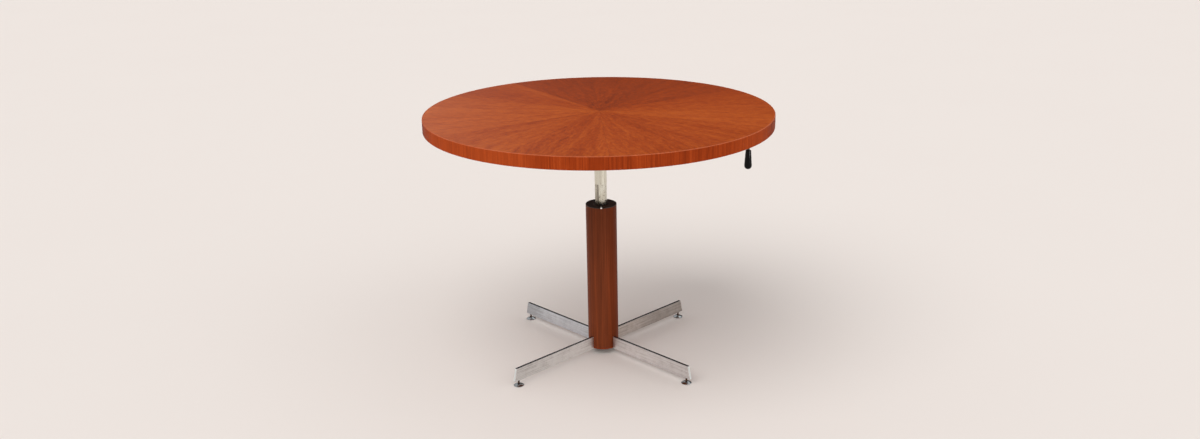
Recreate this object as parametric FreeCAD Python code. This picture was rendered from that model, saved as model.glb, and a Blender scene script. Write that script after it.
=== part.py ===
import FreeCAD, Part
import math
import os
from FreeCAD import Vector

# Round pedestal table whose top rises and falls on a locked gas spring.
# Millimetres. The origin is on the floor under the column, +Z is up, and the top is raised.

# Driving sizes of the whole table
table_height = 736.6        # floor to table surface, raised
lift_travel = 203.2         # raised to lowered
top_dia = 990.6
top_thick = 35.0
column_dia = 90.0
leg_reach = 352.0           # column axis to a leg's lower outer corner
leg_clear = 16.8            # floor to the leg's underside

# Clearances
running_gap = 0.05          # radial, between pieces that slide or turn in each other
face_gap = 0.3              # between faces of pieces that move past each other
slip_gap = 0.1              # radial, round pieces that are pushed in and stay
leg_slot_gap = 0.3          # legs to the wood of the column
overcut = 1.0               # how far a cutting shape runs past the face that it opens

# Tabletop
veneer_thick = 0.6
leaf_count = 12
leaf_turn = 3.8             # degrees, direction of the first joint between leaves
band_thick = 3.0
band_round = 1.0

# Mounting plate and its screws
plate_dia = 180.0
plate_thick = 5.0
plate_screws = 6
plate_screw_inset = 15.0    # plate's edge to the circle of screws
plate_screw_dia = 5.0
plate_screw_head = 10.0
plate_screw_len = 28.0
screw_taper = 5.0           # length of a wood screw's point
screw_tip = 0.8
drive_dia = 3.0             # recess for the screwdriver
drive_depth = 1.3

# Gas spring
cylinder_dia = 22.0
cylinder_wall = 2.0
cylinder_inset = 2.5        # its lower end above the lift tube's
neck_dia = 14.0
neck_len = 28.0             # shoulder of the cylinder to the neck's end
neck_show = 7.8             # release pin above the neck
valve_len = 16.0
valve_wall = 3.0
pin_dia = 5.0
pin_flange = 8.0
pin_flange_thick = 3.0
rod_dia = 10.0
rod_stud = 8.0              # lower end, for the nut
rod_spigot = 6.0            # upper end, inside the piston
seal_len = 15.0
piston_len = 12.0
piston_rise = 40.0          # piston above the cylinder's lower end, raised
collar_thick = 12.0
neck_nut_across = 19.0
neck_nut_thick = 7.0

# Lift tube: round, with six flats milled on its lower length
cylinder_room = 1.5         # radial, gas cylinder to the tube's bore
tube_wall = 5.0
flats_depth = 2.5
flats_turn = 11.0           # degrees, first corner of the hexagon
lowered_gap = 30.4          # cap to mounting plate when the top is down
weld_size = 2.5

# Release rod, its grip and bearings
release_angle = -31.4       # degrees, seen from above
release_drop = 12.0         # rod axis below the table's underside
release_dia = 8.0
release_swing = 35.0        # degrees
cam_flat = 1.5              # rod axis to the cam's flat
cam_len = 9.0
rod_past_tube = 3.0
bend_radius = 8.0
grip_inset = 30.3           # top's edge to the grip's axis
grip_drop = 72.1            # table's underside to the grip's lower end
grip_len = 52.0
grip_dia = 20.5
grip_neck = 13.5
grip_cover = 12.0           # solid end of the grip, below the rod
inner_bearing_at = 250.0
outer_bearing_back = 35.3   # grip's axis to the outer bearing
bearing_len = 14.0
bearing_wall = 5.0
ear_span = 46.0
ear_thick = 3.0
ear_margin = 2.0            # screw head to the ear's end
ear_screw_dia = 4.0
ear_screw_head = 8.0
ear_screw_len = 16.0
head_thick = 2.4
stop_pin_dia = 3.0
ledge_width = 5.0
ledge_thick = 3.0
clip_dia = 15.0
clip_thick = 0.8
clip_groove = 0.8           # depth in the rod
clip_mouth = 5.6

# Column
core_wall = 4.4
column_raise = 1.8          # its lower end above the legs' underside
frame_wall = 2.0
cap_thick = 2.8
cap_rim = 4.0               # width of the raised edge round the cap
cap_dish = 1.0
cap_depth = 40.0
guide_wall = 4.0
shell_wall = 3.0
rib_count = 6
rib_thick = 2.5
rib_inset = 5.0             # ribs' ends inside the guide's
lower_guide_len = 42.0
guide_margin = 10.0         # lift tube below the lower guide, raised
guide_top_gap = 2.0         # flats' upper end above the lower guide, lowered
guide_screws = 3
guide_screw_dia = 5.0
guide_screw_head = 8.0
guide_screw_sunk = 0.5
drag_screw_angle = -88.5    # degrees
drag_screw_dia = 3.0
drag_screw_head = 5.5
drag_screw_drop = 1.0       # axis below the cap's top
drag_lug_rise = 1.8         # the boss stands up by this much round the screw's thread
drag_screw_seat = 1.2       # underside of its head inside the column's rim

# Base
hub_dia = 44.0
leg_height = 38.0
leg_thick = 8.0
leg_slope = 8.3             # the end leans in by this much over the leg's height
leg_edge = 0.6
leg_angles = (45.0, 135.0, 225.0, 315.0)
buffer_dia = 36.0
buffer_height = 8.0
nut_across = 13.0
nut_thick = 6.5
nut_recess = 1.8            # nut above the hub's lower face
stud_show = 0.8             # stud past the nut
washer_dia = 18.0
washer_thick = 1.6
wrench_room = 2.0           # radial, washer to the hub's recess

# Levelling glides
glide_inset = 16.5          # leg's lower outer corner to the stem
glide_dia = 29.0
glide_height = 7.0
glide_shell = 1.2
glide_rim = 0.8             # floor to the dome's lower edge
pad_thick = 2.6
stem_dia = 5.0
stem_foot = 12.0
stem_foot_thick = 1.4
glide_up = 9.0
glide_down = 12.0
stem_kept = 12.0            # stem still in the leg with the glide all the way down

# Levels and radii that follow
underside = table_height - top_thick
plate_bottom = underside - plate_thick
cap_top = plate_bottom - lift_travel - lowered_gap
column_top = cap_top - cap_thick
column_bottom = leg_clear + column_raise
leg_top = leg_clear + leg_height
buffer_top = leg_top + buffer_height
tube_bottom = buffer_top + face_gap + lift_travel
lower_guide_bottom = tube_bottom + guide_margin
lower_guide_top = lower_guide_bottom + lower_guide_len
flats_top = lower_guide_top + guide_top_gap + lift_travel
tube_bore = cylinder_dia + 2 * cylinder_room
tube_dia = tube_bore + 2 * tube_wall
flats_across = tube_dia - 2 * flats_depth
boss_dia = tube_dia + 2 * guide_wall
frame_dia = column_dia - 2 * (veneer_thick + core_wall)
frame_bore = frame_dia - 2 * frame_wall
board_dia = top_dia - 2 * band_thick
rod_axis = underside - release_drop
pin_top = rod_axis - cam_flat - face_gap
neck_top = pin_top - neck_show
collar_bottom = neck_top - neck_len
collar_top = collar_bottom + collar_thick
cylinder_bottom = tube_bottom + cylinder_inset
cylinder_bore = cylinder_dia - 2 * cylinder_wall
piston_bottom = cylinder_bottom + piston_rise
piston_top = piston_bottom + piston_len
grip_at = top_dia / 2 - grip_inset
grip_end = underside - grip_drop
outer_bearing_at = grip_at - outer_bearing_back
clip_at = outer_bearing_at - bearing_len / 2 - face_gap - clip_thick
stop_pin_at = outer_bearing_at + bearing_len / 2 + face_gap + stop_pin_dia / 2
ear_face = underside - ear_thick
nut_bottom = leg_clear + nut_recess
washer_bottom = nut_bottom + nut_thick
stem_top = leg_clear + stem_kept + glide_down
glide_at = leg_reach - glide_inset
UP = Vector(0, 0, 1)
CENTRE = Vector(0, 0, 0)


# ---- small geometry helpers ----

def disc(dia, low, high):
    return Part.makeCylinder(dia / 2, high - low, Vector(0, 0, low))


def ring(outer_dia, inner_dia, low, high):
    return disc(outer_dia, low, high).cut(disc(inner_dia, low - overcut, high + overcut))


def box(x0, x1, y0, y1, z0, z1):
    return Part.makeBox(x1 - x0, y1 - y0, z1 - z0, Vector(x0, y0, z0))


def prism(corners, low, high):
    """Upright prism on a closed outline of (x, y) corners."""
    points = [Vector(x, y, low) for x, y in (*corners, corners[0])]
    return Part.Face(Part.makePolygon(points)).extrude(UP * (high - low))


def hexagon(across, low, high, turn=0.0):
    angles = [math.radians(turn + 60 * k) for k in range(6)]
    r = across / math.sqrt(3)
    return prism([(r * math.cos(a), r * math.sin(a)) for a in angles], low, high)


def turned(*profile):
    """Revolve a profile about Z. Points are (radius, height); a third one between two makes an arc."""
    edges = []
    start = profile[0]
    for step in profile[1:] + (start,):
        end = step[-2:]
        a, b = Vector(start[0], 0, start[1]), Vector(end[0], 0, end[1])
        if len(step) == 4:
            edges.append(Part.Arc(a, Vector(step[0], 0, step[1]), b).toShape())
        elif a.distanceToPoint(b) > 1e-6:
            edges.append(Part.makeLine(a, b))
        start = end
    return Part.Face(Part.Wire(edges)).revolve(CENTRE, UP, 360)


def spun(shape, degrees, at=CENTRE, axis=UP):
    copy = shape.copy()
    copy.rotate(at, axis, degrees)
    return copy


def moved(shape, x=0.0, y=0.0, z=0.0):
    copy = shape.copy()
    copy.translate(Vector(x, y, z))
    return copy


def along_x(shape, x=0.0, z=0.0):
    """Lay a shape that stands on Z along +X, its start at x and its axis at height z."""
    return moved(spun(shape, 90, axis=Vector(0, 1, 0)), x, 0, z)


def ball_arc(start, end):
    """Step of a profile from one (radius, height) to another, along a ball centred on the axis."""
    (x0, z0), (x1, z1) = start, end
    centre = (x1 ** 2 + z1 ** 2 - x0 ** 2 - z0 ** 2) / (2 * (z1 - z0))
    ball = math.hypot(x0, z0 - centre)
    middle = (math.atan2(z0 - centre, x0) + math.atan2(z1 - centre, x1)) / 2
    return ball * math.cos(middle), centre + ball * math.sin(middle), x1, z1


def round_array(shape, count, first=0.0):
    return [spun(shape, first + 360.0 / count * k) for k in range(count)]


def wood_screw_body(dia, length):
    """The lower points of a wood screw's profile that stands on Z with its seat at height 0."""
    return (dia / 2, length - screw_taper), (screw_tip / 2, length), (0, length)


# ---- tabletop ----

def plate_screw_holes(low, high):
    hole = moved(disc(plate_screw_dia, low, high), plate_dia / 2 - plate_screw_inset)
    return round_array(hole, plate_screws)


def ear_screw_spots(at):
    """Places of one bearing block's two screws, before the release line is turned."""
    offset = ear_span / 2 - ear_margin - ear_screw_head / 2
    return [(at, -offset), (at, offset)]


def ear_screw_holes(high):
    spots = ear_screw_spots(inner_bearing_at) + ear_screw_spots(outer_bearing_at)
    return [on_release_line(moved(disc(ear_screw_dia, underside - overcut, high), x, y)) for x, y in spots]


def top_core():
    low, high = underside + veneer_thick, table_height - veneer_thick
    plate_holes = plate_screw_holes(underside, plate_bottom + plate_screw_len)
    return disc(board_dia, low, high).cut(plate_holes + ear_screw_holes(ear_face + ear_screw_len))


def backing_veneer():
    high = underside + veneer_thick
    plate_holes = plate_screw_holes(underside - overcut, high + overcut)
    return disc(board_dia, underside, high).cut(plate_holes + ear_screw_holes(high + overcut))


def edge_band():
    r, inner, high, c = top_dia / 2, board_dia / 2, table_height, band_round
    s = c * (1 - math.sqrt(0.5))
    return turned((inner, underside), (r - c / 2, underside), (r, underside + c / 2), (r, high - c),
                  (r - s, high - s, r - c, high), (inner, high))


def face_leaf():
    r, half, low = board_dia / 2, math.pi / leaf_count, table_height - veneer_thick
    tip = Vector(0, 0, low)
    a = Vector(r * math.cos(half), -r * math.sin(half), low)
    b = Vector(a.x, -a.y, low)
    edges = [Part.makeLine(tip, a), Part.Arc(a, Vector(r, 0, low), b).toShape(), Part.makeLine(b, tip)]
    return Part.Face(Part.Wire(edges)).extrude(UP * veneer_thick)


def face_leaves():
    return round_array(face_leaf(), leaf_count, leaf_turn + 180.0 / leaf_count)


def mounting_plate():
    r, inner, c = plate_dia / 2, tube_bore / 2, 1.0
    plate = turned((inner, plate_bottom), (r - c, plate_bottom), (r, plate_bottom + c), (r, underside),
                   (inner, underside))
    sink = Part.makeCone(plate_screw_head / 2, plate_screw_dia / 2, (plate_screw_head - plate_screw_dia) / 2)
    sink = moved(sink, r - plate_screw_inset, 0, plate_bottom)
    return plate.cut(plate_screw_holes(plate_bottom - overcut, underside + overcut)
                     + round_array(sink, plate_screws))


def plate_wood_screws():
    r, head, drive = plate_screw_dia / 2, plate_screw_head / 2, drive_dia / 2
    screw = turned((0, drive_depth), (drive, drive_depth), (drive, 0), (head, 0), (r, head - r),
                   *wood_screw_body(plate_screw_dia, plate_screw_len))
    screw = moved(screw, plate_dia / 2 - plate_screw_inset, 0, plate_bottom)
    return Part.makeCompound(round_array(screw, plate_screws))


# ---- lift tube and gas spring ----

def lift_tube():
    """Round tube with a weld bead under the plate, flats below and a cross hole for the release rod."""
    r, bore, w = tube_dia / 2, tube_bore / 2, weld_size
    bulge = 0.6 * w
    tube = turned((bore, tube_bottom), (r, tube_bottom), (r, plate_bottom - w),
                  (r + w - bulge, plate_bottom - w + bulge, r + w, plate_bottom), (bore, plate_bottom))
    low = tube_bottom - overcut
    kept = hexagon(flats_across, low, flats_top, flats_turn)
    waste = disc(tube_dia + 2 * overcut, low, flats_top).cut(kept)
    hole = along_x(disc(release_dia + 2 * running_gap, -tube_dia, tube_dia), 0, rod_axis)
    return tube.cut([waste, on_release_line(hole)])


def head_collar():
    """Holds the gas cylinder's shoulder in the lift tube."""
    r, inner, c = tube_bore / 2, neck_dia / 2 + slip_gap, 0.8
    return turned((inner, collar_bottom), (r - c, collar_bottom), (r, collar_bottom + c),
                  (r, collar_top - c), (r - c, collar_top), (inner, collar_top))


def neck_nut():
    high = collar_top + neck_nut_thick
    bore = disc(neck_dia, collar_top - overcut, high + overcut)
    return hexagon(neck_nut_across, collar_top, high).cut(bore)


def gas_cylinder():
    r, inner, low, high = cylinder_dia / 2, cylinder_bore / 2, cylinder_bottom, collar_bottom
    c, shoulder = 1.0, 1.5
    crimp, half, depth = low + seal_len / 2, 2.0, 0.8
    return turned((inner, low), (r - c, low), (r, low + c), (r, crimp - half),
                  (r - depth, crimp, r, crimp + half), (r, high - shoulder), (r - shoulder, high),
                  (inner, high))


def gas_valve_body():
    low, high, c = collar_bottom - valve_len, collar_bottom, 1.0
    r, neck, bore = cylinder_bore / 2, neck_dia / 2, pin_dia / 2 + running_gap
    chamber = pin_flange / 2 + 0.5
    return turned((bore, low), (r, low), (r, high), (neck, high), (neck, neck_top - c), (neck - c, neck_top),
                  (bore, neck_top), (bore, high - valve_wall), (chamber, high - valve_wall),
                  (chamber, low + valve_wall), (bore, low + valve_wall))


def valve_pin():
    """Pressed down by the rod's cam, it opens the valve; its flange keeps it in."""
    flange_top = collar_bottom - valve_wall - face_gap
    flange_bottom = flange_top - pin_flange_thick
    r, flange, c = pin_dia / 2, pin_flange / 2, 0.5
    return turned((0, flange_bottom), (flange, flange_bottom), (flange, flange_top), (r, flange_top),
                  (r, pin_top - c), (r - c, pin_top), (0, pin_top))


def gas_seal():
    r, bore, c = cylinder_bore / 2, rod_dia / 2 + running_gap, 1.0
    low = cylinder_bottom + c
    return turned((bore + c, low), (r, low), (r, low + seal_len), (bore, low + seal_len), (bore, low + c))


def gas_rod():
    r, stud, spigot, c = rod_dia / 2, rod_stud / 2, rod_spigot / 2, 0.8
    low, high = nut_bottom - stud_show, piston_top + 3.0
    return turned((0, low), (stud - c, low), (stud, low + c), (stud, leg_top), (r, leg_top),
                  (r, piston_bottom), (spigot, piston_bottom), (spigot, high), (0, high))


def gas_piston():
    r, bore, mid = cylinder_bore / 2 - running_gap, rod_spigot / 2, (piston_bottom + piston_top) / 2
    half, depth = 1.5, 1.2
    return turned((bore, piston_bottom), (r, piston_bottom), (r, mid - half), (r - depth, mid - half),
                  (r - depth, mid + half), (r, mid + half), (r, piston_top), (bore, piston_top))


# ---- release: everything is made along +X and turned to its place last ----

def on_release_line(shape):
    return spun(shape, release_angle)


def release_rod():
    """One bent bar: a cam flat milled over the valve pin, a long run and a tail inside the grip."""
    r, corner = release_dia / 2, grip_at - bend_radius
    run = along_x(disc(release_dia, -tube_dia / 2 - rod_past_tube, corner), 0, rod_axis)
    elbow = Part.Face(Part.Wire(Part.makeCircle(r, Vector(corner, 0, rod_axis), Vector(1, 0, 0))))
    elbow = elbow.revolve(Vector(corner, 0, rod_axis - bend_radius), Vector(0, 1, 0), 90)
    tail = moved(disc(release_dia, grip_end + grip_cover, rod_axis - bend_radius), grip_at)
    rod = run.fuse([elbow, tail]).removeSplitter()
    cam_waste = box(-cam_len / 2, cam_len / 2, -release_dia, release_dia, rod_axis - release_dia,
                    rod_axis - cam_flat)
    groove = ring(release_dia + 2 * overcut, release_dia - 2 * clip_groove, 0, clip_thick + slip_gap)
    pin_hole = spun(disc(stop_pin_dia, -release_dia, release_dia), 90, axis=Vector(1, 0, 0))
    return on_release_line(rod.cut([cam_waste, along_x(groove, clip_at, rod_axis),
                                    moved(pin_hole, stop_pin_at, 0, rod_axis)]))


def release_stop_pin():
    """Rests on the outer bearing's ledge, and meets the table's underside at full swing."""
    swing, rise = math.radians(release_swing), release_drop - face_gap
    reach = (rise - stop_pin_dia / 2 * math.cos(swing)) / math.sin(swing)
    pin = disc(stop_pin_dia, -release_dia / 2 - 0.5, reach)
    return on_release_line(moved(spun(pin, -90, axis=Vector(1, 0, 0)), stop_pin_at, 0, rod_axis))


def release_clip():
    """Open ring that snaps into the rod's groove."""
    clip = ring(clip_dia, release_dia - 2 * clip_groove, 0, clip_thick)
    mouth = box(-clip_mouth / 2, clip_mouth / 2, -clip_dia, 0, -overcut, clip_thick + overcut)
    return on_release_line(along_x(clip.cut(mouth), clip_at, rod_axis))


def release_grip():
    """Tapered grip with a ball end, pushed onto the rod's tail."""
    low, high, socket = grip_end, grip_end + grip_len, grip_end + grip_cover
    r, neck, bore, c = grip_dia / 2, grip_neck / 2, release_dia / 2, 1.5
    lean = math.atan((r - neck) / (grip_len - r))
    belly = (r * math.cos(lean), low + r * (1 + math.sin(lean)))
    grip = turned((0, low), ball_arc((0, low), belly), (neck, high - c), (neck - c, high), (bore, high),
                  (bore, socket), (0, socket))
    return on_release_line(moved(grip, grip_at))


def bearing_block(at):
    """Boss round the rod under two ears that screw to the table's underside."""
    r, x0, x1 = release_dia / 2 + bearing_wall, at - bearing_len / 2, at + bearing_len / 2
    boss = along_x(disc(2 * r, 0, bearing_len), x0, rod_axis)
    ears = box(x0, x1, -ear_span / 2, ear_span / 2, ear_face, underside)
    return box(x0, x1, -r, r, rod_axis, underside).fuse([boss, ears])


def bearing_cuts(at):
    start, end = at - bearing_len / 2 - overcut, at + bearing_len / 2 + overcut
    bore = along_x(disc(release_dia + 2 * running_gap, start, end), 0, rod_axis)
    hole = disc(ear_screw_dia, ear_face - overcut, underside + overcut)
    return [bore] + [moved(hole, x, y) for x, y in ear_screw_spots(at)]


def inner_bearing():
    at = inner_bearing_at
    return on_release_line(bearing_block(at).cut(bearing_cuts(at)).removeSplitter())


def outer_bearing():
    """Carries a ledge beside the rod, where the stop pin rests."""
    at, end = outer_bearing_at, outer_bearing_at + bearing_len / 2
    y0 = release_dia / 2 + bearing_wall - overcut
    y1 = y0 + overcut + ledge_width
    ledge_top = rod_axis - stop_pin_dia / 2 - face_gap
    ledge_end = stop_pin_at + stop_pin_dia / 2 + face_gap + overcut
    ledge = box(end - ledge_thick, ledge_end, y0, y1, ledge_top - ledge_thick, ledge_top)
    web = box(end - ledge_thick, end, y0, y1, ledge_top - ledge_thick, ear_face + overcut)
    return on_release_line(bearing_block(at).fuse([ledge, web]).cut(bearing_cuts(at)).removeSplitter())


def bearing_screws():
    r, head, drive = ear_screw_dia / 2, ear_screw_head / 2, drive_dia / 2
    rim, crown = (head, -0.6), (drive, -head_thick)
    screw = turned((0, drive_depth - head_thick), (drive, drive_depth - head_thick), crown,
                   ball_arc(crown, rim), (head, 0), (r, 0), *wood_screw_body(ear_screw_dia, ear_screw_len))
    spots = ear_screw_spots(inner_bearing_at) + ear_screw_spots(outer_bearing_at)
    return Part.makeCompound([on_release_line(moved(screw, x, y, ear_face)) for x, y in spots])


# ---- column ----

def ribbed_guide(low, high, rib_low, rib_high, first):
    """Moulded guide: an outer wall that fits the frame tube, an inner boss and ribs between them."""
    outer = frame_bore - 2 * slip_gap
    rib = box(boss_dia / 2 - overcut, outer / 2 - overcut, -rib_thick / 2, rib_thick / 2, rib_low, rib_high)
    wall = ring(outer, outer - 2 * shell_wall, low, high)
    return wall.fuse([disc(boss_dia, low, high)] + round_array(rib, rib_count, first))


def column_cap():
    """Dished flange over the column with the upper guide under it, and a notch for the drag screw."""
    low = column_top - cap_depth
    body = ribbed_guide(low, column_top, low + rib_inset, column_top, drag_screw_angle)
    r, c, inner, floor = column_dia / 2, 0.8, boss_dia / 2, cap_top - cap_dish
    flange = turned((0, column_top), (r, column_top), (r, cap_top - c), (r - c, cap_top),
                    (r - cap_rim, cap_top), (r - cap_rim - cap_dish, floor), (inner + cap_dish, floor),
                    (inner, cap_top), (0, cap_top))
    half, axis = drag_screw_head / 2 + slip_gap, cap_top - drag_screw_drop
    pad = box(inner - overcut, frame_bore / 2 - shell_wall, -half - overcut, half + overcut,
              axis - drag_screw_head, column_top)
    lug = box(0, inner, -half - overcut, half + overcut, floor - overcut, cap_top + drag_lug_rise)
    slot = box(inner, column_dia, -half, half, axis - half, cap_top + overcut)
    hole = along_x(disc(drag_screw_dia, 0, inner + overcut), 0, axis)
    bore = disc(tube_dia + 2 * running_gap, low - overcut, cap_top + drag_lug_rise + overcut)
    blocks = [flange] + [spun(block, drag_screw_angle) for block in (pad, lug)]
    cuts = [bore] + [spun(cut, drag_screw_angle) for cut in (slot, hole)]
    return body.fuse(blocks).cut(cuts).removeSplitter()


def drag_screw():
    """Bears on the lift tube through the cap's boss, and takes up its play."""
    r, head, c, thick, crown = drag_screw_dia / 2, drag_screw_head / 2, 0.5, 0.8, 1.5
    tip, seat = tube_dia / 2 + running_gap + face_gap, column_dia / 2 - drag_screw_seat
    screw = turned((0, tip), (r - c, tip), (r, tip + c), (r, seat), (head, seat), (head, seat + thick),
                   ball_arc((head, seat + thick), (0, seat + thick + crown)))
    return spun(along_x(screw, 0, cap_top - drag_screw_drop), drag_screw_angle)


def lower_guide():
    """Its hexagonal bore runs on the lift tube's flats and stops the top turning."""
    low, high = lower_guide_bottom, lower_guide_top
    body = ribbed_guide(low, high, low + rib_inset, high - rib_inset, flats_turn)
    outer, boss, mid = frame_bore / 2 - slip_gap, boss_dia / 2, (low + high) / 2
    pad = along_x(disc(guide_screw_dia + 2 * guide_wall, boss - overcut, outer - overcut), 0, mid)
    hole = along_x(disc(guide_screw_dia, guide_screw_tip(), outer + overcut), 0, mid)
    bore = hexagon(flats_across + 2 * running_gap, low - overcut, high + overcut, flats_turn)
    body = body.fuse(round_array(pad, guide_screws, flats_turn + 30))
    return body.cut([bore] + round_array(hole, guide_screws, flats_turn + 30)).removeSplitter()


def guide_screw_tip():
    return boss_dia / 2 + overcut


def guide_screw_shape(beyond=0.0):
    """Countersunk screw from just under the frame tube's face inwards, lying along +X."""
    r, head, end = guide_screw_dia / 2, guide_screw_head / 2, frame_dia / 2 - guide_screw_sunk
    start = guide_screw_tip()
    screw = turned((0, start), (r, start), (r, frame_bore / 2), (head, end), (head, end + beyond),
                   (0, end + beyond))
    return along_x(screw, 0, (lower_guide_bottom + lower_guide_top) / 2)


def lower_guide_screws():
    return Part.makeCompound(round_array(guide_screw_shape(), guide_screws, flats_turn + 30))


def leg_slots(gap):
    half = leg_thick / 2 + gap
    slot = box(0, column_dia, -half, half, leg_clear - overcut, leg_top + gap)
    return [spun(slot, a) for a in leg_angles]


def frame_tube():
    sinks = round_array(guide_screw_shape(overcut), guide_screws, flats_turn + 30)
    return ring(frame_dia, frame_bore, column_bottom, column_top).cut(leg_slots(slip_gap) + sinks)


def column_cuts():
    """Slots for the legs, and the notch where the drag screw's head sits."""
    seat = column_dia / 2 - drag_screw_seat - slip_gap
    notch = along_x(disc(drag_screw_head + 2 * slip_gap, seat, column_dia), 0, cap_top - drag_screw_drop)
    return leg_slots(leg_slot_gap) + [spun(notch, drag_screw_angle)]


def column_core():
    return ring(frame_dia + 2 * core_wall, frame_dia, column_bottom, column_top).cut(column_cuts())


def column_veneer():
    return ring(column_dia, column_dia - 2 * veneer_thick, column_bottom, column_top).cut(column_cuts())


# ---- base ----

def base_hub():
    """Carries the legs, and the gas rod's stud with its nut in a recess below."""
    r, recess, bore, c = hub_dia / 2, washer_dia / 2 + wrench_room, rod_stud / 2 + slip_gap, 1.0
    seat = washer_bottom + washer_thick
    return turned((recess, leg_clear), (r - c, leg_clear), (r, leg_clear + c), (r, leg_top - c),
                  (r - c, leg_top), (bore, leg_top), (bore, seat), (recess, seat))


def leg_weld(side):
    """Weld bead between one side of a leg and the hub."""
    half, w = leg_thick / 2, weld_size
    root = math.sqrt(hub_dia ** 2 / 4 - half ** 2)
    outline = [(root - w, half - overcut), (root + w, half - overcut), (root + w, half), (root, half + w),
               (root - w, half + w)]
    return prism([(x, side * y) for x, y in outline], leg_clear + w, leg_top - w)


def leg():
    """Flat bar on edge, cut to the hub's curve with a weld each side, and bored for the glide's stem."""
    half, c = leg_thick / 2, leg_edge
    outline = [(0, leg_clear), (leg_reach, leg_clear), (leg_reach - leg_slope, leg_top), (0, leg_top)]
    face = Part.Face(Part.makePolygon([Vector(x, -half, z) for x, z in outline + outline[:1]]))
    bar = face.extrude(Vector(0, leg_thick, 0))
    eased = [e for e in bar.Edges if e.BoundBox.XMax > leg_reach / 2]
    bar = bar.makeChamfer(c, eased).fuse([leg_weld(-1), leg_weld(1)])
    hub = disc(hub_dia, leg_clear - overcut, leg_top + overcut)
    hole = disc(stem_dia + 2 * running_gap, leg_clear - overcut, stem_top + glide_up + 2 * overcut)
    return bar.cut([hub, moved(hole, glide_at)])


def rod_washer():
    return ring(washer_dia, rod_stud + 2 * slip_gap, washer_bottom, washer_bottom + washer_thick)


def rod_nut():
    flat, corner, c = nut_across / 2, nut_across / math.sqrt(3), 1.0
    crown = turned((0, nut_bottom), (flat, nut_bottom), (corner, nut_bottom + c), (corner, washer_bottom),
                   (0, washer_bottom))
    nut = hexagon(nut_across, nut_bottom, washer_bottom).common(crown)
    return nut.cut(disc(rod_stud, nut_bottom - overcut, washer_bottom + overcut))


def down_buffer():
    r, inner, c = buffer_dia / 2, rod_dia / 2 + slip_gap, 1.5
    return turned((inner, leg_top), (r, leg_top), (r, buffer_top - c), (r - c, buffer_top),
                  (inner, buffer_top))


# ---- levelling glides, made on the Z axis ----

def glide_dome():
    """Thin pressed shell round the stem's foot, open below where the pad closes it."""
    r, high, t = glide_dia / 2, glide_height, glide_shell
    hole, neck = stem_dia / 2 + face_gap, stem_dia / 2 + 2.5
    skirt, lip, c = 1.2, 0.8, 0.4
    ceiling = high - t - 0.2
    edge, crown = (r, glide_rim + skirt), (neck, high - lip)
    return turned((r - t, glide_rim), (r, glide_rim), edge, ball_arc(edge, crown), (neck - c, high),
                  (hole, high), (hole, ceiling), (neck - c, ceiling), (r - t, pad_thick))


def glide_pad():
    r, c = glide_dia / 2 - glide_shell, 0.6
    return turned((0, 0), (r - c, 0), (r, c), (r, pad_thick), (0, pad_thick))


def glide_stem():
    r, foot, low, c = stem_dia / 2, stem_foot / 2, pad_thick + face_gap, 0.6
    shoulder = low + stem_foot_thick
    return turned((0, low), (foot, low), (foot - stem_foot_thick, shoulder), (r, shoulder),
                  (r, stem_top - c), (r - c, stem_top), (0, stem_top))


# ---- write every piece ----

single_pieces = (
    top_core, backing_veneer, edge_band, mounting_plate, plate_wood_screws,
    lift_tube, head_collar, neck_nut, gas_cylinder, gas_valve_body, gas_seal, gas_rod, gas_piston, valve_pin,
    release_rod, release_grip, release_stop_pin, release_clip, inner_bearing, outer_bearing, bearing_screws,
    column_cap, drag_screw, lower_guide, lower_guide_screws, frame_tube, column_core, column_veneer,
    base_hub, rod_washer, rod_nut, down_buffer,
)


def pieces():
    """Every node's name and shape."""
    found = {make.__name__: make() for make in single_pieces}
    for k, leaf in enumerate(face_leaves(), 1):
        found[f"face_leaf_{k:02d}"] = leaf
    for k, angle in enumerate(leg_angles, 1):
        found[f"leg_{k}"] = spun(leg(), angle)
        for make in (glide_dome, glide_pad, glide_stem):
            found[f"{make.__name__}_{k}"] = spun(moved(make(), glide_at), angle)
    return found


os.makedirs("parts", exist_ok=True)
for node, shape in pieces().items():
    shape.exportStep(f"parts/{node}.step")
    print(f"{node:20s} solids {len(shape.Solids)} volume {shape.Volume:12.1f} valid {shape.isValid()}")
swing = math.radians(release_swing)
cam_lift = (cam_flat * math.cos(swing) + math.sqrt(release_dia ** 2 / 4 - cam_flat ** 2) * math.sin(swing)
            - cam_flat)
print("cam presses the release pin by", round(cam_lift, 3), "mm")
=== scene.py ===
# Telescoping pedestal table: finishes, screw threads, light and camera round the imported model.
import math

import bmesh
import bpy
from mathutils import Matrix, Vector


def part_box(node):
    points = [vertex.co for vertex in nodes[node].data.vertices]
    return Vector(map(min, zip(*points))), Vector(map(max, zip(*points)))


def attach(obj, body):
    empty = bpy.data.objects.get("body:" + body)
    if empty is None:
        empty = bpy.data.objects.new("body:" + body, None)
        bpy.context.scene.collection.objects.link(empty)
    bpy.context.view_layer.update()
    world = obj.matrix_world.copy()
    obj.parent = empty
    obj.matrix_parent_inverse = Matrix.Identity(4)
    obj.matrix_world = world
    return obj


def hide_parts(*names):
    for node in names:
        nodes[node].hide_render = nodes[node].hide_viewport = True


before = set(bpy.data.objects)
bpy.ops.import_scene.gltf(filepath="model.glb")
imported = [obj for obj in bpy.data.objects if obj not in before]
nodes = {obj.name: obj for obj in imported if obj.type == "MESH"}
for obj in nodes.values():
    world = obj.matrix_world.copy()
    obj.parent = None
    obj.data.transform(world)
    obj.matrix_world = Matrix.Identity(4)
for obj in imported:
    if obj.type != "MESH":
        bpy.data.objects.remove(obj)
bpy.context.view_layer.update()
print("frame loaded:", len(nodes), "nodes")


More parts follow.
